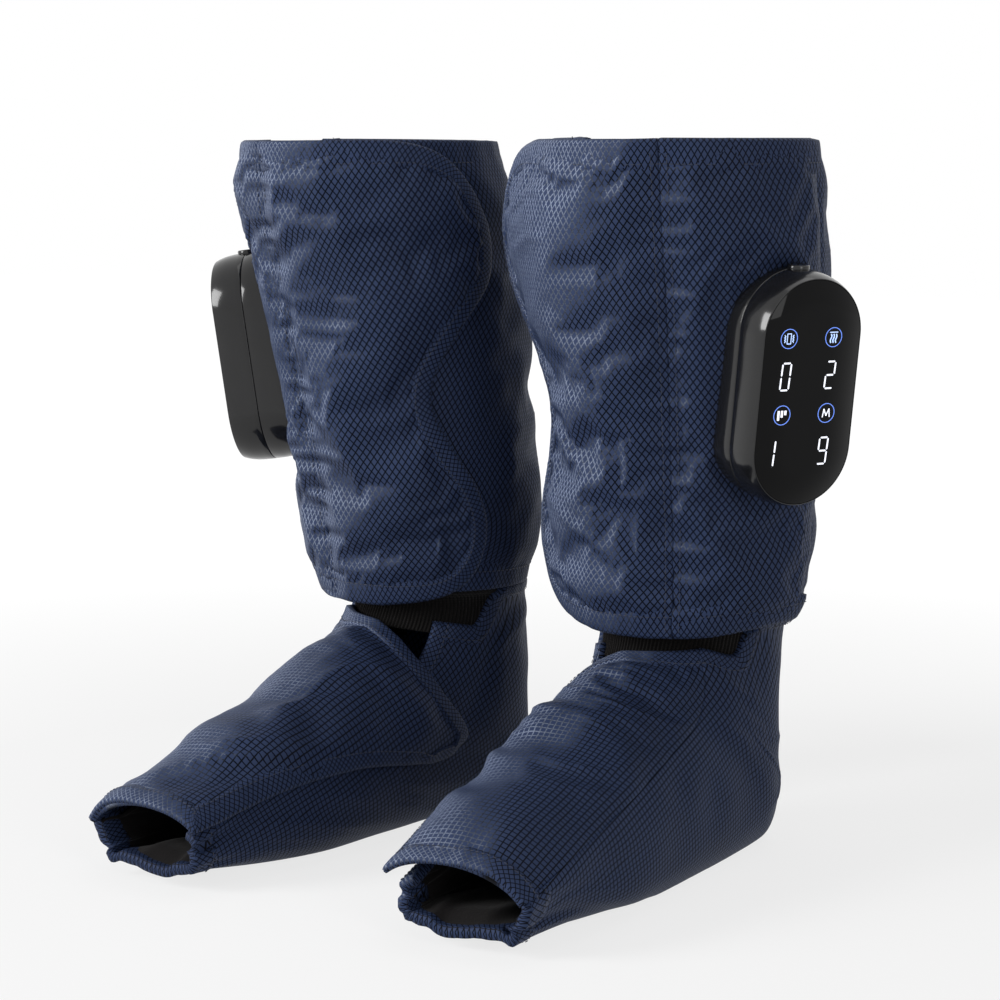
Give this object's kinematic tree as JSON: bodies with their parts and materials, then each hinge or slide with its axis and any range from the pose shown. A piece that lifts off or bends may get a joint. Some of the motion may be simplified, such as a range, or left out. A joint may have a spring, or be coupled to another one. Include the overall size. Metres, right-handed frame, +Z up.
{
  "type": "lymphatic compression massager",
  "caption": "Pair of navy padded leg boots with open toes and wrap-over flaps, each with a battery air-pump unit and touch panel on the outer side of its calf cuff.",
  "frame": {"origin": "on the floor, at the middle of the pair's bounding box", "axes": "+Z up, toes towards -Y, the wearer's left leg at +X; each boot's toes turn out 3.4 degrees"},
  "size_m": [0.4708, 0.3427, 0.4415],
  "materials": {
    "navy_cloth": "navy ripstop cloth with a soft sheen",
    "dark_lining": "smooth dark brown-black lining cloth",
    "black_knit": "matt ribbed stretch knit",
    "tape_cloth": "hook and loop tape",
    "bladder_film": "welded air-chamber film",
    "black_gloss": "polished black",
    "panel_glass": "polished black panel glass, opaque",
    "board_green": "circuit board, solder mask",
    "cell_blue": "shrink film over two cells",
    "pump_white": "moulded pump housing",
    "steel": "plated steel",
    "grey_plastic": "moulded, fine grain"
  },
  "bodies": {
    "boots": {"left_calf_cover": "navy_cloth", "left_calf_bladder": "bladder_film", "left_calf_lining": "dark_lining", "left_calf_loop_patch": "tape_cloth", "left_ankle_knit": "black_knit", "left_foot_wrap": "navy_cloth", "left_foot_bladder": "bladder_film", "left_foot_lining": "dark_lining", "left_foot_loop_patch": "tape_cloth", "left_calf_panel": "navy_cloth", "left_rear_shell": "black_gloss", "left_front_shell": "black_gloss", "left_touch_glass": "panel_glass", "left_display_board": "board_green", "left_main_board": "board_green", "left_clamp_plate": "grey_plastic", "left_upper_screw": "steel", "left_lower_screw": "steel", "left_charge_socket": "steel", "left_battery_pack": "cell_blue", "left_air_pump": "pump_white", "left_air_valve": "pump_white", "left_vibration_motor": "steel", "right_calf_cover": "navy_cloth", "right_calf_bladder": "bladder_film", "right_calf_lining": "dark_lining", "right_calf_loop_patch": "tape_cloth", "right_ankle_knit": "black_knit", "right_foot_wrap": "navy_cloth", "right_foot_bladder": "bladder_film", "right_foot_lining": "dark_lining", "right_foot_loop_patch": "tape_cloth", "right_calf_panel": "navy_cloth", "right_rear_shell": "black_gloss", "right_front_shell": "black_gloss", "right_touch_glass": "panel_glass", "right_display_board": "board_green", "right_main_board": "board_green", "right_clamp_plate": "grey_plastic", "right_upper_screw": "steel", "right_lower_screw": "steel", "right_charge_socket": "steel", "right_battery_pack": "cell_blue", "right_air_pump": "pump_white", "right_air_valve": "pump_white", "right_vibration_motor": "steel"},
    "left_calf_flap": {"left_calf_flap": "navy_cloth", "left_calf_hook_patch": "tape_cloth"},
    "left_foot_flap": {"left_foot_flap": "navy_cloth", "left_foot_hook_patch": "tape_cloth"},
    "left_power_button": {"left_power_button": "black_gloss"},
    "left_pump_rotor": {"left_pump_rotor": "grey_plastic"},
    "left_vibration_weight": {"left_vibration_weight": "steel"},
    "right_calf_flap": {"right_calf_flap": "navy_cloth", "right_calf_hook_patch": "tape_cloth"},
    "right_foot_flap": {"right_foot_flap": "navy_cloth", "right_foot_hook_patch": "tape_cloth"},
    "right_power_button": {"right_power_button": "black_gloss"},
    "right_pump_rotor": {"right_pump_rotor": "grey_plastic"},
    "right_vibration_weight": {"right_vibration_weight": "steel"}
  },
  "joints": [
    {"name": "left_calf_flap_fold", "type": "hinge", "parent": "boots", "child": "left_calf_flap", "pos_m": [0.15093, -0.02812, 0.43776], "axis": [0.0694, -0.1916, 0.979], "range_deg": [0, 100]},
    {"name": "left_foot_flap_fold", "type": "hinge", "parent": "boots", "child": "left_foot_flap", "pos_m": [0.14483, 0.04716, 0.12971], "axis": [-0.0851, 0.92, 0.3825], "range_deg": [0, 135]},
    {"name": "left_power_button_press", "type": "slide", "parent": "boots", "child": "left_power_button", "axis": [-0.1244, 0.0623, -0.9903], "range_m": [0, 0.0012], "stiffness_N_per_m": 400, "springref_m": -0.0015},
    {"name": "left_pump_rotor_spin", "type": "hinge", "parent": "boots", "child": "left_pump_rotor", "pos_m": [0.20518, 0.05569, 0.29082], "axis": [0.1244, -0.0623, 0.9903], "continuous": true},
    {"name": "left_vibration_weight_spin", "type": "hinge", "parent": "boots", "child": "left_vibration_weight", "pos_m": [0.2031, 0.06601, 0.28173], "axis": [0.1244, -0.0623, 0.9903], "continuous": true},
    {"name": "right_calf_flap_fold", "type": "hinge", "parent": "boots", "child": "right_calf_flap", "pos_m": [-0.15093, -0.02812, 0.43776], "axis": [0.0694, 0.1916, -0.979], "range_deg": [0, 100]},
    {"name": "right_foot_flap_fold", "type": "hinge", "parent": "boots", "child": "right_foot_flap", "pos_m": [-0.14483, 0.04716, 0.12971], "axis": [-0.0851, -0.92, -0.3825], "range_deg": [0, 135]},
    {"name": "right_power_button_press", "type": "slide", "parent": "boots", "child": "right_power_button", "axis": [0.1244, 0.0623, -0.9903], "range_m": [0, 0.0012], "stiffness_N_per_m": 400, "springref_m": -0.0015},
    {"name": "right_pump_rotor_spin", "type": "hinge", "parent": "boots", "child": "right_pump_rotor", "pos_m": [-0.20518, 0.05569, 0.29082], "axis": [0.1244, 0.0623, -0.9903], "continuous": true},
    {"name": "right_vibration_weight_spin", "type": "hinge", "parent": "boots", "child": "right_vibration_weight", "pos_m": [-0.2031, 0.06601, 0.28173], "axis": [0.1244, 0.0623, -0.9903], "continuous": true}
  ]
}
